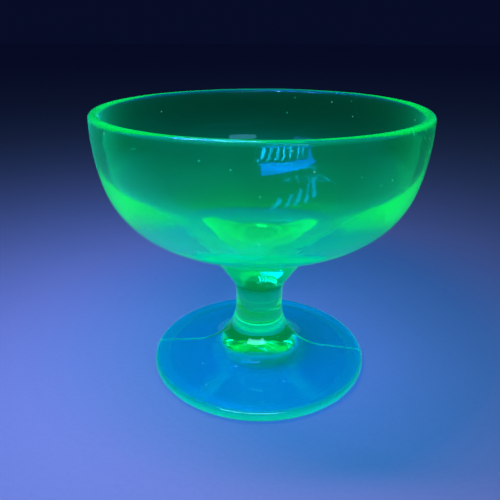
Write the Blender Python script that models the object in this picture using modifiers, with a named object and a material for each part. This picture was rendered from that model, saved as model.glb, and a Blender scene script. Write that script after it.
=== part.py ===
"""Footed dessert dish in uranium glass: a deep round bowl on a short waisted stem and a shallow domed foot.

Metres, +Z up. The origin is on the dish's axis, on the surface that the foot stands on.
"""

import math

import bpy
from mathutils import Vector

# Driving sizes
RIM_RADIUS = 0.0477
HEIGHT = 0.0835
FOOT_RADIUS = 0.0350
WAIST_RADIUS = 0.0074
LIP_WALL = 0.0028
SEAM_GAP = 0.0003

# Bowl: arcs from the upright wall under the lip inwards, each a radius and the angle that it turns,
# then the round underside and the arc that blends it into the cone over the stem
SIDE_TOP_Z = 0.0797
OUTER_ARCS = ((0.0590, 15.7), (0.0255, 43.1))
INNER_ARCS = ((0.0572, 10.1), (0.0190, 16.4), (0.0393, 13.0))
UNDERSIDE_RADIUS = 0.0395
BLEND_RADIUS = 0.0147
BOWL_JOINT_Z = 0.0340

# Stem: the arc that starts the cone under the bowl, and the arc that spreads it on to the foot
UPPER_FLARE_Z = 0.0246
UPPER_FLARE = (0.0097, 35.9)
LOWER_FLARE_Z = 0.0213
LOWER_FLARE = (0.0185, 22.0)

# Foot: the wider flare that rises to the stem, its round edge, and the round-topped cone hollowed under it
FOOT_FLARE_RADIUS = 0.0148
FOOT_JOINT_Z = 0.0090
EDGE_RADIUS = 0.0021
REST_RING_WIDTH = 0.0008
HOLLOW_SLOPE = 12.0
HOLLOW_TOP_RADIUS = 0.0200

# Mesh fineness: how many faces go round, and how far a chord may cut into its arc
TURN_STEPS = 64
CHORD_ERROR = 0.00006

GLASS_COLOUR = (0.10, 0.62, 0.30, 1.0)
GLASS_ROUGHNESS = 0.03
GLASS_IOR = 1.52


def clear_scene():
    for obj in list(bpy.data.objects):
        bpy.data.objects.remove(obj, do_unlink=True)


class Outline:
    """A line in the XZ plane, drawn by moving along a heading in degrees: 0 is outwards, 90 is up."""

    def __init__(self, x, z, heading):
        self.points = [Vector((x, 0.0, z))]
        self.heading = heading

    def ahead(self, turned=0.0):
        """The unit vector along the heading, turned to the left by some degrees."""
        angle = math.radians(self.heading + turned)
        return Vector((math.cos(angle), 0.0, math.sin(angle)))

    def straight(self, length):
        self.points.append(self.points[-1] + self.ahead() * length)

    def straight_to_x(self, x):
        self.straight((x - self.points[-1].x) / self.ahead().x)

    def straight_to_z(self, z):
        self.straight((z - self.points[-1].z) / self.ahead().z)

    def arc(self, radius, turn):
        """An arc that turns to the left by a positive angle, and to the right by a negative one."""
        side = math.copysign(90.0, turn)
        centre = self.points[-1] + self.ahead(side) * radius
        step_angle = 2.0 * math.acos(1.0 - CHORD_ERROR / radius)
        steps = max(2, math.ceil(math.radians(abs(turn)) / step_angle))
        start = self.heading
        for step in range(1, steps + 1):
            self.heading = start + turn * step / steps
            self.points.append(centre + self.ahead(-side) * radius)


def cone_start():
    """The stem's side from its waist up to where it runs straight, as a cone, to the bowl."""
    side = Outline(WAIST_RADIUS, UPPER_FLARE_Z, 90.0)
    side.arc(UPPER_FLARE[0], -UPPER_FLARE[1])
    return side


def blend_centre(cone, round_centre):
    """The centre of the arc that touches both the cone and the bowl's round underside."""
    start = cone.points[-1] + cone.ahead(-90.0) * BLEND_RADIUS
    to_round = round_centre - start
    along = to_round.dot(cone.ahead())
    across_squared = to_round.length_squared - along**2
    back = math.sqrt((UNDERSIDE_RADIUS + BLEND_RADIUS) ** 2 - across_squared)
    return start + cone.ahead() * (along - back)


def bowl_outline():
    """From the bottom of the inside up to the lip, and down the outside to the flat joint on the stem."""
    inside = Outline(RIM_RADIUS - LIP_WALL, SIDE_TOP_Z, -90.0)
    for radius, turn in INNER_ARCS:
        inside.arc(radius, -turn)
    floor_slope = 180.0 + inside.heading
    inside.arc(inside.points[-1].x / math.sin(math.radians(floor_slope)), -floor_slope)
    inside.points[-1].x = 0.0

    outside = Outline(RIM_RADIUS - LIP_WALL, HEIGHT - LIP_WALL / 2, 90.0)
    outside.arc(LIP_WALL / 2, -180.0)
    outside.straight_to_z(SIDE_TOP_Z)
    for radius, turn in OUTER_ARCS:
        outside.arc(radius, -turn)
    cone = cone_start()
    round_centre = outside.points[-1] + outside.ahead(-90.0) * UNDERSIDE_RADIUS
    to_blend = blend_centre(cone, round_centre) - round_centre
    blend_heading = math.degrees(math.atan2(to_blend.z, to_blend.x)) - 90.0
    outside.arc(UNDERSIDE_RADIUS, blend_heading - outside.heading)
    outside.arc(BLEND_RADIUS, cone.heading - 180.0 - outside.heading)
    outside.straight_to_z(BOWL_JOINT_Z)
    outside.heading = 180.0
    outside.straight_to_x(0.0)
    return inside.points[::-1] + outside.points


def flare_turn_to(z, start_z, radius, start_turn):
    """How far a flare has turned from the upright when it has come down to the height z."""
    drop = (start_z - z) / radius
    return math.degrees(math.asin(math.sin(math.radians(start_turn)) + drop))


def lower_flare():
    """The stem's side from its waist down to where the foot's wider flare takes over."""
    side = Outline(WAIST_RADIUS, LOWER_FLARE_Z, -90.0)
    side.arc(*LOWER_FLARE)
    return side


def stem_outline():
    """From the flat top under the bowl, down the side, to the flat joint on the foot."""
    cone = cone_start()
    cone.straight_to_z(BOWL_JOINT_Z - SEAM_GAP)
    top = Vector((0.0, 0.0, BOWL_JOINT_Z - SEAM_GAP))
    upper = [top] + cone.points[::-1]

    lower = lower_flare()
    start_turn = LOWER_FLARE[1]
    end_turn = flare_turn_to(FOOT_JOINT_Z + SEAM_GAP, lower.points[-1].z, FOOT_FLARE_RADIUS, start_turn)
    lower.arc(FOOT_FLARE_RADIUS, end_turn - start_turn)
    lower.heading = 180.0
    lower.straight_to_x(0.0)
    return upper + lower.points


def edge_slope(flare_centre):
    """The downward slope of the line that touches the foot's flare above it and its round edge below it."""
    edge_centre = Vector((FOOT_RADIUS - EDGE_RADIUS, 0.0, EDGE_RADIUS))
    between = edge_centre - flare_centre
    fall = math.degrees(math.atan2(-between.z, between.x))
    return fall - math.degrees(math.asin((FOOT_FLARE_RADIUS + EDGE_RADIUS) / between.length))


def foot_outline():
    """From the flat joint under the stem, over the top and round the edge, to the top of the hollow."""
    flare = lower_flare()
    start = flare.points[-1]
    centre = start + flare.ahead(90.0) * FOOT_FLARE_RADIUS
    slope = edge_slope(centre)
    joint_turn = flare_turn_to(FOOT_JOINT_Z, start.z, FOOT_FLARE_RADIUS, LOWER_FLARE[1])

    foot = Outline(0.0, FOOT_JOINT_Z, 0.0)
    foot.straight(centre.x - FOOT_FLARE_RADIUS * math.cos(math.radians(joint_turn)))
    foot.heading = joint_turn - 90.0
    foot.arc(FOOT_FLARE_RADIUS, 90.0 - slope - joint_turn)
    foot.straight_to_x(FOOT_RADIUS - EDGE_RADIUS + EDGE_RADIUS * math.sin(math.radians(slope)))
    foot.arc(EDGE_RADIUS, slope - 180.0)
    foot.straight(REST_RING_WIDTH)

    foot.heading = 180.0 - HOLLOW_SLOPE
    foot.straight_to_x(HOLLOW_TOP_RADIUS * math.sin(math.radians(HOLLOW_SLOPE)))
    foot.arc(HOLLOW_TOP_RADIUS, HOLLOW_SLOPE)
    foot.points[-1].x = 0.0
    return foot.points


def glass_material(name):
    material = bpy.data.materials.new(name)
    material.use_nodes = True
    shader = material.node_tree.nodes["Principled BSDF"]
    shader.inputs["Base Color"].default_value = GLASS_COLOUR
    shader.inputs["Roughness"].default_value = GLASS_ROUGHNESS
    shader.inputs["Metallic"].default_value = 0.0
    shader.inputs["IOR"].default_value = GLASS_IOR
    shader.inputs["Transmission Weight"].default_value = 1.0
    return material


def turned_piece(name, outline, collection):
    """A solid of revolution: the outline as a line of edges, swept round Z by a Screw modifier."""
    mesh = bpy.data.meshes.new(name)
    edges = [(i, i + 1) for i in range(len(outline) - 1)]
    mesh.from_pydata(outline, edges, [])
    mesh.materials.append(glass_material(name + "_glass"))
    piece = bpy.data.objects.new(name, mesh)
    collection.objects.link(piece)

    screw = piece.modifiers.new("turn", "SCREW")
    screw.axis = "Z"
    screw.angle = 2.0 * math.pi
    screw.steps = TURN_STEPS
    screw.render_steps = TURN_STEPS
    screw.use_merge_vertices = True
    screw.merge_threshold = 0.00001
    screw.use_smooth_shade = True
    return piece


def build():
    clear_scene()
    dish = bpy.data.collections.new("uranium_glass_dish")
    bpy.context.scene.collection.children.link(dish)
    turned_piece("bowl", bowl_outline(), dish)
    turned_piece("stem", stem_outline(), dish)
    turned_piece("foot", foot_outline(), dish)


build()
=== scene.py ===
"""The looks of a footed dish in uranium glass, on a plain pale floor under soft studio light.

The dish glows green all through, as this glass does under ultraviolet light, and thick glass glows most.
Its bowl, stem and foot are fused, so light passes from one to the next without meeting a surface.
Everything is in metres, +Z up, in the CAD model's frame: the dish stands on Z = 0, with its axis on Z.
"""

import math

import bpy
from mathutils import Matrix, Quaternion, Vector, noise


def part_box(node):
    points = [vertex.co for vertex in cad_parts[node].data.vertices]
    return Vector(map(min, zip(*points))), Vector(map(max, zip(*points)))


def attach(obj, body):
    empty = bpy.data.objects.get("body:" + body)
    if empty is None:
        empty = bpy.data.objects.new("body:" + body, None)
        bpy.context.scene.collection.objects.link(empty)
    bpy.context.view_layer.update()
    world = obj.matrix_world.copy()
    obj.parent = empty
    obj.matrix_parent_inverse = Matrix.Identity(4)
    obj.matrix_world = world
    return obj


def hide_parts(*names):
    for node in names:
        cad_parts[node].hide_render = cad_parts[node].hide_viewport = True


# Profile: each arc is a radius and the angle that it turns
LIP_WALL = 0.0028
SIDE_TOP_Z = 0.0797
OUTER_ARCS = ((0.0590, 15.7), (0.0255, 43.1))
INNER_ARCS = ((0.0572, 10.1), (0.0190, 16.4), (0.0393, 13.0))
UNDERSIDE_RADIUS = 0.0395
BLEND_RADIUS = 0.0147
WAIST_RADIUS = 0.0074
UPPER_FLARE_Z = 0.0246
UPPER_FLARE = (0.0097, 35.9)
LOWER_FLARE_Z = 0.0213
LOWER_FLARE = (0.0185, 22.0)
FOOT_FLARE_RADIUS = 0.0148
EDGE_RADIUS = 0.0021
REST_RING_WIDTH = 0.0008
HOLLOW_SLOPE = 12.0
HOLLOW_TOP_RADIUS = 0.0200

# Mesh fineness
TURN_STEPS = 160
SEAM_STEPS = 7
SEAM_STEP_DEGREES = 0.32
CHORD_ERROR = 0.000006
JOINT_GAP = 0.00001
ON_AXIS = 1e-7

# Traces of the making: two mould seams up the foot's top and the stem, weak waves, and a rim that
# isn't quite level. The seams fade in and out over these heights, and the surface under the foot has none.
SEAM_HEIGHT = 0.00016
SEAM_WIDTH = 0.00034
SEAM_TURN = 356.5
SEAM_STARTS = (0.0016, 0.0030)
SEAM_ENDS = (0.024, 0.032)
UNDERSIDE_NORMAL_Z = -0.3
WAVE_HEIGHT = 0.00007
WAVE_LENGTH = 0.016
WAVE_STARTS = (0.0, 0.004)
RIM_DIP = 0.00018
RIM_DIP_PHASE = 0.6
RIM_DIP_STARTS = (0.060, 0.0835)

# The glass. For each piece: the tint of its skin, the light that it lets through, how strongly it glows
# inside and at its skin (first at the lower and then at the upper of the two glow heights), the glow added
# where the skin turns away, and the weight of the thin film on it
GLASS_IOR = 1.52
GLOSS_TINT = (0.35, 0.85, 1.0)
GLOW_COLOUR = (0.0, 1.0, 0.20)
SKIN_GLOW_COLOUR = (0.0, 1.0, 0.35)
FILM_ROUGHNESS = 0.35
FILM_TINT = (0.05, 1.0, 0.35)
EDGE_POWER = 3.0
SEAM_GLOW = 0.13
UNEVEN_GLOW = (0.85, 1.15)
ABSORB_DENSITY = 100.0
GLOW_HEIGHTS = (0.036, 0.078)
SHADE_TINT = (0.70, 0.94, 1.0)
LOOKS = {
    "bowl": {
        "tint": (0.02, 0.97, 0.70),
        "tint_patch": (0.02, 0.94, 0.80),
        "passed": (0.0, 0.87, 0.65),
        "glow": 12.0,
        "skin_glow": (0.080, 0.0),
        "edge_glow": 0.22,
        "film": 0.6,
    },
    "stem": {
        "tint": (0.02, 0.92, 0.66),
        "tint_patch": (0.02, 0.88, 0.74),
        "passed": (0.0, 0.90, 0.50),
        "glow": 11.0,
        "skin_glow": (0.020, 0.020),
        "edge_glow": 0.10,
        "film": 0.2,
    },
    "foot": {
        "tint": (0.02, 0.92, 0.98),
        "tint_patch": (0.02, 0.88, 1.0),
        "passed": (0.0, 0.90, 1.0),
        "glow": 10.0,
        "skin_glow": (0.008, 0.008),
        "edge_glow": 0.05,
        "film": 0.2,
    },
}

# The glass's skin: cloudy patches, smears, wiping marks, ripples, dust specks (raised, and with a painted
# blue-white glow) and a worn rest ring
PATCH_SCALE = 40.0
PATCH_DETAIL = 2.0
PATCH_RANGE = (0.3, 0.7)
SMEAR_SCALE = 60.0
SMEAR_DETAIL = 5.0
SMEAR_RANGE = (0.45, 0.75)
SMEAR_ROUGH = (0.03, 0.09)
WIPE_STRETCH = (900.0, 900.0, 90.0)
WIPE_TURN = (0.3, 0.5, 0.0)
WIPE_DETAIL = 3.0
WIPE_RANGE = (0.55, 0.75)
WIPE_ROUGH = 0.05
WORN_HEIGHTS = (0.0002, 0.0010)
WORN_ROUGH = 0.40
RIPPLE_SCALE = 110.0
RIPPLE_DETAIL = 3.0
RIPPLE_HEIGHT = 0.0003
RIPPLE_STRENGTH = 0.25
SPECK_SCALE = 170.0
SPECK_RADIUS = 0.06
SPECK_LIFT = 0.4
SPECK_GLOW = 0.25
# Painted glow: the colour of the blue-white light given off by the dust specks
SPECK_GLOW_COLOUR = (0.30, 0.90, 1.0)

# The floor: plain pale paper
FLOOR_HALF = 3.0
PAPER_GRAIN = 700.0
PAPER_DETAIL = 4.0
PAPER_DARK = (0.68, 0.71, 0.76)
PAPER_LIGHT = (0.76, 0.79, 0.84)
PAPER_ROUGH = 0.9
PAPER_BUMP = 0.2
PAPER_BUMP_HEIGHT = 0.0002

# The lamps. Two rows of short tubes and a wide box hang over the dish and face down. For each row: how many
# tubes, the middle and the length of the row in X and Y, the width and height of a tube, its power, its
# colour and its turn. For each box: its place, the point that it faces, its width and height, its power and
# its colour.
OVERHEAD_Z = 0.18
TUBES = (8, (-0.040, -0.035), (0.080, 0.0), (0.0024, 0.0165), 0.0225, (0.36, 0.40, 1.0), -40.0)
BACK_TUBES = (5, (-0.035, 0.050), (0.042, 0.010), (0.004, 0.034), 0.006, (0.02, 0.25, 1.0), -15.0)
ON_THE_DISH = (0.0, 0.0, 0.03)
ON_THE_FOOT = (0.0, -0.010, 0.0115)
OVERHEAD = ((-0.040, -0.012, OVERHEAD_Z), (-0.040, -0.012, 0.0), (0.078, 0.023), 0.11, (0.03, 0.10, 1.0))
LEFT = ((-0.27, -0.28, 0.31), ON_THE_DISH, (0.16, 0.08), 0.10, (0.10, 0.40, 1.0))
RIGHT = ((0.13, -0.42, 0.33), ON_THE_DISH, (0.20, 0.09), 0.22, (0.35, 0.70, 1.0))
FRONT = ((-0.056, -0.329, 0.247), ON_THE_FOOT, (0.38, 0.09), 1.1, (0.45, 0.90, 1.0))
ROOM_COLOUR = (0.05, 0.08, 0.40)
ROOM_STRENGTH = 0.05

# Camera
CAMERA_BACK = 0.15432
CAMERA_HEIGHT = 0.10505
CAMERA_PITCH = 23.13
CAMERA_YAW = -1.13
CAMERA_ROLL = 0.14
CAMERA_LENS = 38.13
CAMERA_SENSOR = 36.0
CAMERA_NEAR = 0.005

# The most bounces for light in the glass, and for its reflections
GLASS_BOUNCES = 28
GLOSSY_BOUNCES = 12


class Outline:
    """A line in the XZ plane, drawn by moving along a heading in degrees: 0 is outwards, 90 is up."""

    def __init__(self, x, z, heading):
        self.points = [Vector((x, 0.0, z))]
        self.heading = heading

    def ahead(self, turned=0.0):
        """The unit vector along the heading, turned to the left by some degrees."""
        angle = math.radians(self.heading + turned)
        return Vector((math.cos(angle), 0.0, math.sin(angle)))

    def straight(self, length):
        self.points.append(self.points[-1] + self.ahead() * length)

    def straight_to_x(self, x):
        self.straight((x - self.points[-1].x) / self.ahead().x)

    def straight_to_z(self, z):
        self.straight((z - self.points[-1].z) / self.ahead().z)

    def arc(self, radius, turn):
        """An arc that turns to the left by a positive angle, and to the right by a negative one."""
        side = math.copysign(90.0, turn)
        centre = self.points[-1] + self.ahead(side) * radius
        step_angle = 2.0 * math.acos(1.0 - CHORD_ERROR / radius)
        steps = max(2, math.ceil(math.radians(abs(turn)) / step_angle))
        start = self.heading
        for step in range(1, steps + 1):
            self.heading = start + turn * step / steps
            self.points.append(centre + self.ahead(-side) * radius)


def cone_start():
    """The stem's side from its waist up to where it runs straight, as a cone, to the bowl."""
    side = Outline(WAIST_RADIUS, UPPER_FLARE_Z, 90.0)
    side.arc(UPPER_FLARE[0], -UPPER_FLARE[1])
    return side


def blend_centre(cone, round_centre):
    """The centre of the arc that touches both the cone and the bowl's round underside."""
    start = cone.points[-1] + cone.ahead(-90.0) * BLEND_RADIUS
    to_round = round_centre - start
    along = to_round.dot(cone.ahead())
    across_squared = to_round.length_squared - along**2
    back = math.sqrt((UNDERSIDE_RADIUS + BLEND_RADIUS) ** 2 - across_squared)
    return start + cone.ahead() * (along - back)


def bowl_outline(rim_radius, height, joint_z):
    """From the bottom of the inside up to the lip, and down the outside to the joint on the stem."""
    inside = Outline(rim_radius - LIP_WALL, SIDE_TOP_Z, -90.0)
    for radius, turn in INNER_ARCS:
        inside.arc(radius, -turn)
    floor_slope = 180.0 + inside.heading
    inside.arc(inside.points[-1].x / math.sin(math.radians(floor_slope)), -floor_slope)
    inside.points[-1].x = 0.0

    outside = Outline(rim_radius - LIP_WALL, height - LIP_WALL / 2, 90.0)
    outside.arc(LIP_WALL / 2, -180.0)
    outside.straight_to_z(SIDE_TOP_Z)
    for radius, turn in OUTER_ARCS:
        outside.arc(radius, -turn)
    cone = cone_start()
    round_centre = outside.points[-1] + outside.ahead(-90.0) * UNDERSIDE_RADIUS
    to_blend = blend_centre(cone, round_centre) - round_centre
    blend_heading = math.degrees(math.atan2(to_blend.z, to_blend.x)) - 90.0
    outside.arc(UNDERSIDE_RADIUS, blend_heading - outside.heading)
    outside.arc(BLEND_RADIUS, cone.heading - 180.0 - outside.heading)
    outside.straight_to_z(joint_z)
    return inside.points[::-1] + outside.points


def flare_turn_to(z, start_z, radius, start_turn):
    """How far a flare has turned from the upright when it has come down to the height z."""
    drop = (start_z - z) / radius
    return math.degrees(math.asin(math.sin(math.radians(start_turn)) + drop))


def lower_flare():
    """The stem's side from its waist down to where the foot's wider flare takes over."""
    side = Outline(WAIST_RADIUS, LOWER_FLARE_Z, -90.0)
    side.arc(*LOWER_FLARE)
    return side


def stem_outline(top_z, bottom_z):
    """The stem's side, from the joint under the bowl down to the joint on the foot."""
    cone = cone_start()
    cone.straight_to_z(top_z)
    lower = lower_flare()
    start_turn = LOWER_FLARE[1]
    end_turn = flare_turn_to(bottom_z, lower.points[-1].z, FOOT_FLARE_RADIUS, start_turn)
    lower.arc(FOOT_FLARE_RADIUS, end_turn - start_turn)
    return cone.points[::-1] + lower.points


def edge_slope(flare_centre, foot_radius):
    """The downward slope of the line that touches the foot's flare above it and its round edge below it."""
    edge_centre = Vector((foot_radius - EDGE_RADIUS, 0.0, EDGE_RADIUS))
    between = edge_centre - flare_centre
    fall = math.degrees(math.atan2(-between.z, between.x))
    return fall - math.degrees(math.asin((FOOT_FLARE_RADIUS + EDGE_RADIUS) / between.length))


def foot_outline(foot_radius, joint_z):
    """From the joint under the stem, over the top and round the edge, to the top of the hollow."""
    flare = lower_flare()
    start = flare.points[-1]
    centre = start + flare.ahead(90.0) * FOOT_FLARE_RADIUS
    slope = edge_slope(centre, foot_radius)
    joint_turn = flare_turn_to(joint_z, start.z, FOOT_FLARE_RADIUS, LOWER_FLARE[1])

    joint_x = centre.x - FOOT_FLARE_RADIUS * math.cos(math.radians(joint_turn))
    foot = Outline(joint_x, joint_z, joint_turn - 90.0)
    foot.arc(FOOT_FLARE_RADIUS, 90.0 - slope - joint_turn)
    foot.straight_to_x(foot_radius - EDGE_RADIUS + EDGE_RADIUS * math.sin(math.radians(slope)))
    foot.arc(EDGE_RADIUS, slope - 180.0)
    foot.straight(REST_RING_WIDTH)

    foot.heading = 180.0 - HOLLOW_SLOPE
    foot.straight_to_x(HOLLOW_TOP_RADIUS * math.sin(math.radians(HOLLOW_SLOPE)))
    foot.arc(HOLLOW_TOP_RADIUS, HOLLOW_SLOPE)
    foot.points[-1].x = 0.0
    return foot.points


def turn_angles():
    """Even steps round the dish, with finer ones where the two mould seams run."""
    angles = {360.0 * step / TURN_STEPS for step in range(TURN_STEPS)}
    for seam in (SEAM_TURN, SEAM_TURN - 180.0):
        near = {a for a in angles if abs(a - seam) < SEAM_STEPS * SEAM_STEP_DEGREES}
        angles -= near
        for step in range(-SEAM_STEPS, SEAM_STEPS + 1):
            angles.add((seam + step * SEAM_STEP_DEGREES) % 360.0)
    return [math.radians(a) for a in sorted(angles)]


def ramp(value, low, high):
    """From 0 at low to 1 at high, smoothly."""
    t = min(max((value - low) / (high - low), 0.0), 1.0)
    return t * t * (3.0 - 2.0 * t)


def seam_share(place, normal):
    """How much of the mould seam's full height stands here: it runs up the foot's top and the stem."""
    if normal.z < UNDERSIDE_NORMAL_Z:
        return 0.0
    seam = math.radians(SEAM_TURN)
    across = place.y * math.cos(seam) - place.x * math.sin(seam)
    ridge = math.exp(-((across / SEAM_WIDTH) ** 2))
    return ridge * ramp(place.z, *SEAM_STARTS) * (1.0 - ramp(place.z, *SEAM_ENDS))


def worked(place, normal):
    """A point of the true outline, moved by the slight waves and seams that the making leaves."""
    wave = noise.noise(place / WAVE_LENGTH) * WAVE_HEIGHT
    free = ramp(place.z, *WAVE_STARTS)
    rise = free * (wave - WAVE_HEIGHT) + SEAM_HEIGHT * seam_share(place, normal)
    moved = place + normal * rise
    around = math.atan2(place.y, place.x)
    dipped = 0.5 - 0.5 * math.sin(2.0 * around + RIM_DIP_PHASE)
    moved.z -= RIM_DIP * dipped * ramp(place.z, *RIM_DIP_STARTS)
    return moved


def outline_normals(points):
    """The direction, square to the line, that points out of the glass at each point."""
    normals = []
    for i in range(len(points)):
        before = points[max(i - 1, 0)]
        after = points[min(i + 1, len(points) - 1)]
        along = (after - before).normalized()
        normals.append(Vector((-along.z, 0.0, along.x)))
    return normals


def turned_piece(name, outline):
    """The outline swept round Z as a closed smooth mesh, with flat disks over its open ends."""
    angles = turn_angles()
    normals = outline_normals(outline)
    verts = []
    seams = []
    rings = []
    for point, normal in zip(outline, normals):
        turns = [0.0] if point.x < ON_AXIS else angles
        rings.append(range(len(verts), len(verts) + len(turns)))
        for angle in turns:
            spin = Matrix.Rotation(angle, 3, "Z")
            verts.append(worked(spin @ point, spin @ normal))
            seams.append(seam_share(spin @ point, spin @ normal))
    faces = []
    count = len(angles)
    for low, high in zip(rings, rings[1:]):
        for i in range(count):
            j = (i + 1) % count
            corners = [low[i % len(low)], high[i % len(high)], high[j % len(high)], low[j % len(low)]]
            faces.append(list(dict.fromkeys(corners)))
    skin_faces = len(faces)
    if len(rings[0]) > 1:
        faces.append(list(rings[0]))
    if len(rings[-1]) > 1:
        faces.append(list(rings[-1])[::-1])

    mesh = bpy.data.meshes.new(name)
    mesh.from_pydata(verts, [], faces)
    mesh.shade_smooth()
    mesh.attributes.new("seam", "FLOAT", "POINT").data.foreach_set("value", seams)
    joint = mesh.attributes.new("joint", "FLOAT", "FACE")
    sharp_face = mesh.attributes.new("sharp_face", "BOOLEAN", "FACE")
    for index in range(skin_faces, len(faces)):
        joint.data[index].value = 1.0
        sharp_face.data[index].value = True
    mark_sharp_rims(mesh, skin_faces)
    piece = bpy.data.objects.new(name, mesh)
    bpy.context.scene.collection.objects.link(piece)
    return piece


def mark_sharp_rims(mesh, skin_faces):
    """Keeps the skin's shading free of the flat disks that close its ends."""
    rim_edges = {key for face in mesh.polygons[skin_faces:] for key in face.edge_keys}
    for edge in mesh.edges:
        if tuple(sorted(edge.vertices)) in rim_edges:
            edge.use_edge_sharp = True


def add_node(tree, kind, **inputs):
    """A new node. Each input is a value for it, or an output of another node to link to it."""
    node = tree.nodes.new(kind)
    for name, value in inputs.items():
        socket = node.inputs[name.replace("_", " ")]
        if isinstance(value, bpy.types.NodeSocket):
            tree.links.new(value, socket)
        else:
            socket.default_value = value
    return node


def mapped(tree, value, low, high, at_low, at_high):
    """The value between low and high, turned smoothly into one between at_low and at_high."""
    node = add_node(
        tree,
        "ShaderNodeMapRange",
        Value=value,
        From_Min=low,
        From_Max=high,
        To_Min=at_low,
        To_Max=at_high,
    )
    node.interpolation_type = "SMOOTHSTEP"
    return node.outputs["Result"]


def combined(tree, operation, first, second):
    node = tree.nodes.new("ShaderNodeMath")
    node.operation = operation
    for socket, value in zip(node.inputs, (first, second)):
        if isinstance(value, bpy.types.NodeSocket):
            tree.links.new(value, socket)
        else:
            socket.default_value = value
    return node.outputs["Value"]


def cloud(tree, place, scale, detail):
    node = add_node(tree, "ShaderNodeTexNoise", Vector=place, Scale=scale, Detail=detail)
    return node.outputs["Fac"]


def coloured(tree, value, first, second):
    """A colour that runs from the first to the second as the value goes from 0 to 1."""
    node = add_node(tree, "ShaderNodeValToRGB", Fac=value)
    node.color_ramp.elements[0].color = (*first, 1.0)
    node.color_ramp.elements[1].color = (*second, 1.0)
    return node.outputs["Color"]


def mixed(tree, share, first, second):
    node = tree.nodes.new("ShaderNodeMixShader")
    for socket, source in zip(node.inputs, (share, first, second)):
        tree.links.new(source, socket)
    return node.outputs["Shader"]


def dust(tree, place):
    """A field of small round specks: 1 on a speck and 0 between them."""
    cells = add_node(tree, "ShaderNodeTexVoronoi", Vector=place, Scale=SPECK_SCALE)
    return mapped(tree, cells.outputs["Distance"], SPECK_RADIUS / 2, SPECK_RADIUS, 1.0, 0.0)


def skin_roughness(tree, place, height):
    """Smears and wiping marks on polished glass, and the matt ring that the foot wears on its underside."""
    smears = mapped(tree, cloud(tree, place, SMEAR_SCALE, SMEAR_DETAIL), *SMEAR_RANGE, *SMEAR_ROUGH)
    stretch = add_node(tree, "ShaderNodeMapping", Vector=place, Scale=WIPE_STRETCH, Rotation=WIPE_TURN)
    wipes = cloud(tree, stretch.outputs["Vector"], 1.0, WIPE_DETAIL)
    wipes = mapped(tree, wipes, *WIPE_RANGE, 0.0, WIPE_ROUGH)
    worn = mapped(tree, height, *WORN_HEIGHTS, WORN_ROUGH, 0.0)
    return combined(tree, "MAXIMUM", combined(tree, "ADD", smears, wipes), worn)


def skin_bump(tree, place, speck):
    ripple = cloud(tree, place, RIPPLE_SCALE, RIPPLE_DETAIL)
    ripple = combined(tree, "ADD", ripple, combined(tree, "MULTIPLY", speck, SPECK_LIFT))
    bump = add_node(tree, "ShaderNodeBump", Height=ripple, Strength=RIPPLE_STRENGTH, Distance=RIPPLE_HEIGHT)
    return bump.outputs["Normal"]


def skin_glow(tree, look, height, patches, speck):
    """More glow low on the piece, where the skin turns away, on the mould seams and on the specks."""
    skin = mapped(tree, height, *GLOW_HEIGHTS, *look["skin_glow"])
    glow = combined(tree, "MULTIPLY", skin, mapped(tree, patches, 0.0, 1.0, *UNEVEN_GLOW))
    edge = add_node(tree, "ShaderNodeLayerWeight", Blend=0.5).outputs["Facing"]
    edge = combined(tree, "MULTIPLY", combined(tree, "POWER", edge, EDGE_POWER), look["edge_glow"])
    glow = combined(tree, "ADD", glow, edge)
    seam = mesh_value(tree, "seam")
    glow = combined(tree, "ADD", glow, combined(tree, "MULTIPLY", seam, SEAM_GLOW))
    return combined(tree, "ADD", glow, combined(tree, "MULTIPLY", speck, SPECK_GLOW))


def mesh_value(tree, name):
    """A number that the mesh holds under this name."""
    node = tree.nodes.new("ShaderNodeAttribute")
    node.attribute_name = name
    return node.outputs["Fac"]


def glowing_inside(tree, look):
    """The glass takes some of the light that goes through it, and gives off green light all through."""
    absorb = add_node(
        tree, "ShaderNodeVolumeAbsorption", Color=(*look["passed"], 1.0), Density=ABSORB_DENSITY
    )
    glow = add_node(tree, "ShaderNodeEmission", Color=(*GLOW_COLOUR, 1.0), Strength=look["glow"])
    both = tree.nodes.new("ShaderNodeAddShader")
    tree.links.new(absorb.outputs["Volume"], both.inputs[0])
    tree.links.new(glow.outputs["Emission"], both.inputs[1])
    return both.outputs["Shader"]


def clear_at_joints(tree, skin):
    """The skin, but clear where two pieces are fused, and lightly tinted for the light on the floor."""
    shadow_ray = tree.nodes.new("ShaderNodeLightPath").outputs["Is Shadow Ray"]
    shade = add_node(tree, "ShaderNodeBsdfTransparent", Color=(*SHADE_TINT, 1.0)).outputs["BSDF"]
    surface = mixed(tree, shadow_ray, skin, shade)
    clear = tree.nodes.new("ShaderNodeBsdfTransparent").outputs["BSDF"]
    return mixed(tree, mesh_value(tree, "joint"), surface, clear)


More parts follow.
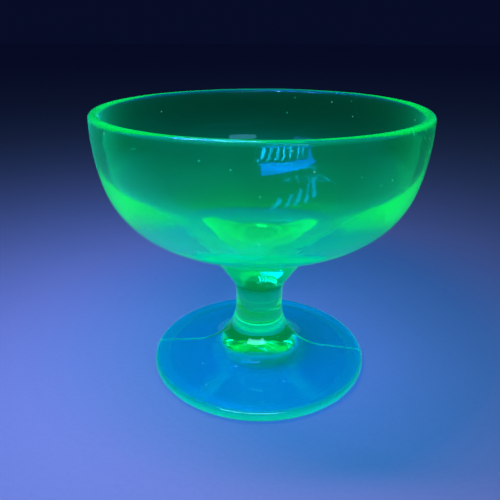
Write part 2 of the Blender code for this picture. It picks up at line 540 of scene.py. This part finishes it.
def uranium_glass(name, look):
    """Clear glass that glows green all through, and a little more at its skin, as in ultraviolet light."""
    material = bpy.data.materials.new(name)
    material.use_nodes = True
    tree = material.node_tree
    shader = tree.nodes["Principled BSDF"]
    output = tree.nodes["Material Output"]
    link = tree.links.new

    shader.inputs["Transmission Weight"].default_value = 1.0
    shader.inputs["Sheen Weight"].default_value = look["film"]
    shader.inputs["Sheen Roughness"].default_value = FILM_ROUGHNESS
    shader.inputs["Sheen Tint"].default_value = (*FILM_TINT, 1.0)
    shader.inputs["IOR"].default_value = GLASS_IOR
    shader.inputs["Specular Tint"].default_value = (*GLOSS_TINT, 1.0)

    place = tree.nodes.new("ShaderNodeTexCoord").outputs["Object"]
    height = add_node(tree, "ShaderNodeSeparateXYZ", Vector=place).outputs["Z"]
    patches = mapped(tree, cloud(tree, place, PATCH_SCALE, PATCH_DETAIL), *PATCH_RANGE, 0.0, 1.0)
    speck = dust(tree, place)
    link(coloured(tree, patches, look["tint"], look["tint_patch"]), shader.inputs["Base Color"])
    link(skin_roughness(tree, place, height), shader.inputs["Roughness"])
    link(skin_bump(tree, place, speck), shader.inputs["Normal"])
    link(skin_glow(tree, look, height, patches, speck), shader.inputs["Emission Strength"])
    link(coloured(tree, speck, SKIN_GLOW_COLOUR, SPECK_GLOW_COLOUR), shader.inputs["Emission Color"])

    link(glowing_inside(tree, look), output.inputs["Volume"])
    link(clear_at_joints(tree, shader.outputs["BSDF"]), output.inputs["Surface"])
    return material


def pale_floor():
    corners = [(-FLOOR_HALF, -FLOOR_HALF, 0.0), (FLOOR_HALF, -FLOOR_HALF, 0.0)]
    corners += [(FLOOR_HALF, FLOOR_HALF, 0.0), (-FLOOR_HALF, FLOOR_HALF, 0.0)]
    mesh = bpy.data.meshes.new("floor")
    mesh.from_pydata(corners, [], [(0, 1, 2, 3)])
    floor = bpy.data.objects.new("floor", mesh)
    bpy.context.scene.collection.objects.link(floor)

    material = bpy.data.materials.new("pale_paper")
    material.use_nodes = True
    tree = material.node_tree
    shader = tree.nodes["Principled BSDF"]
    place = tree.nodes.new("ShaderNodeTexCoord").outputs["Object"]
    grain = cloud(tree, place, PAPER_GRAIN, PAPER_DETAIL)
    tree.links.new(coloured(tree, grain, PAPER_DARK, PAPER_LIGHT), shader.inputs["Base Color"])
    bump = add_node(
        tree, "ShaderNodeBump", Height=grain, Strength=PAPER_BUMP, Distance=PAPER_BUMP_HEIGHT
    )
    tree.links.new(bump.outputs["Normal"], shader.inputs["Normal"])
    shader.inputs["Roughness"].default_value = PAPER_ROUGH
    mesh.materials.append(material)


def softbox(name, place, target, size, power, colour, turn=0.0):
    """A flat soft lamp, hidden from the camera, that faces the target."""
    light = bpy.data.lights.new(name, "AREA")
    light.shape = "RECTANGLE"
    light.size, light.size_y = size
    light.energy = power
    light.color = colour
    lamp = bpy.data.objects.new(name, light)
    bpy.context.scene.collection.objects.link(lamp)
    lamp.location = place
    lamp.visible_camera = False
    aim = (Vector(target) - Vector(place)).to_track_quat("-Z", "Y")
    lamp.rotation_euler = (aim @ Quaternion((0.0, 0.0, 1.0), math.radians(turn))).to_euler()
    return lamp


def tube_row(name, count, middle, length, size, power, colour, turn):
    """A row of tubes over the dish, all facing down."""
    for tube in range(count):
        share = tube / (count - 1) - 0.5
        x = middle[0] + length[0] * share
        y = middle[1] + length[1] * share
        softbox(name, (x, y, OVERHEAD_Z), (x, y, 0.0), size, power, colour, turn)


def light_only(lamp, pieces):
    """Keeps a lamp's light to some of the pieces."""
    lit = bpy.data.collections.new(lamp.name + "_lights")
    for piece in pieces:
        lit.objects.link(piece)
    lamp.light_linking.receiver_collection = lit


def light_the_studio(low_pieces):
    tube_row("tube", *TUBES)
    softbox("overhead", *OVERHEAD)
    softbox("left", *LEFT)
    softbox("right", *RIGHT)
    light_only(softbox("front", *FRONT), low_pieces)
    tube_row("back_tube", *BACK_TUBES)
    world = bpy.data.worlds.new("studio")
    world.use_nodes = True
    background = world.node_tree.nodes["Background"]
    background.inputs["Color"].default_value = (*ROOM_COLOUR, 1.0)
    background.inputs["Strength"].default_value = ROOM_STRENGTH
    bpy.context.scene.world = world


def place_camera():
    pitch = math.radians(CAMERA_PITCH)
    yaw = math.radians(CAMERA_YAW)
    roll = math.radians(CAMERA_ROLL)
    ahead = Vector((math.sin(yaw) * math.cos(pitch), math.cos(yaw) * math.cos(pitch), -math.sin(pitch)))
    level = Vector((math.cos(yaw), -math.sin(yaw), 0.0))
    above = level.cross(ahead)
    right = level * math.cos(roll) + above * math.sin(roll)
    up = above * math.cos(roll) - level * math.sin(roll)
    lens = bpy.data.cameras.new("camera")
    lens.lens = CAMERA_LENS
    lens.sensor_width = CAMERA_SENSOR
    lens.clip_start = CAMERA_NEAR
    camera = bpy.data.objects.new("camera", lens)
    bpy.context.scene.collection.objects.link(camera)
    camera.matrix_world = Matrix((right, up, -ahead)).transposed().to_4x4()
    camera.matrix_world.translation = Vector((0.0, -CAMERA_BACK, CAMERA_HEIGHT))
    bpy.context.scene.camera = camera


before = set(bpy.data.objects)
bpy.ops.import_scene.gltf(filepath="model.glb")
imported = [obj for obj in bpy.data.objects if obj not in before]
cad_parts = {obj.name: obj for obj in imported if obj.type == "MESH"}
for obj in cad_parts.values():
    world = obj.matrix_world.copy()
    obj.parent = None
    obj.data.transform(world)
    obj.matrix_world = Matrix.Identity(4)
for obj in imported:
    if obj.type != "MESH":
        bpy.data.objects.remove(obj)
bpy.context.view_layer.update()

bowl_low, bowl_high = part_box("bowl")
stem_low, stem_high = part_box("stem")
foot_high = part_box("foot")[1]
upper_joint_z = (bowl_low.z + stem_high.z) / 2
lower_joint_z = (stem_low.z + foot_high.z) / 2
half_gap = JOINT_GAP / 2

bowl = turned_piece("bowl_glass", bowl_outline(bowl_high.x, bowl_high.z, upper_joint_z + half_gap))
stem = turned_piece("stem_glass", stem_outline(upper_joint_z - half_gap, lower_joint_z + half_gap))
foot = turned_piece("foot_glass", foot_outline(foot_high.x, lower_joint_z - half_gap))

for piece, node in ((bowl, "bowl"), (stem, "stem"), (foot, "foot")):
    piece.data.materials.append(uranium_glass("uranium_" + node, LOOKS[node]))
    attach(piece, "root")
    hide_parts(node)

pale_floor()
light_the_studio((stem, foot))
place_camera()

scene = bpy.context.scene
scene.view_settings.view_transform = "Standard"
scene.cycles.max_bounces = GLASS_BOUNCES
scene.cycles.transmission_bounces = GLASS_BOUNCES
scene.cycles.transparent_max_bounces = GLASS_BOUNCES
scene.cycles.glossy_bounces = GLOSSY_BOUNCES
scene.cycles.caustics_refractive = False
scene.cycles.caustics_reflective = False
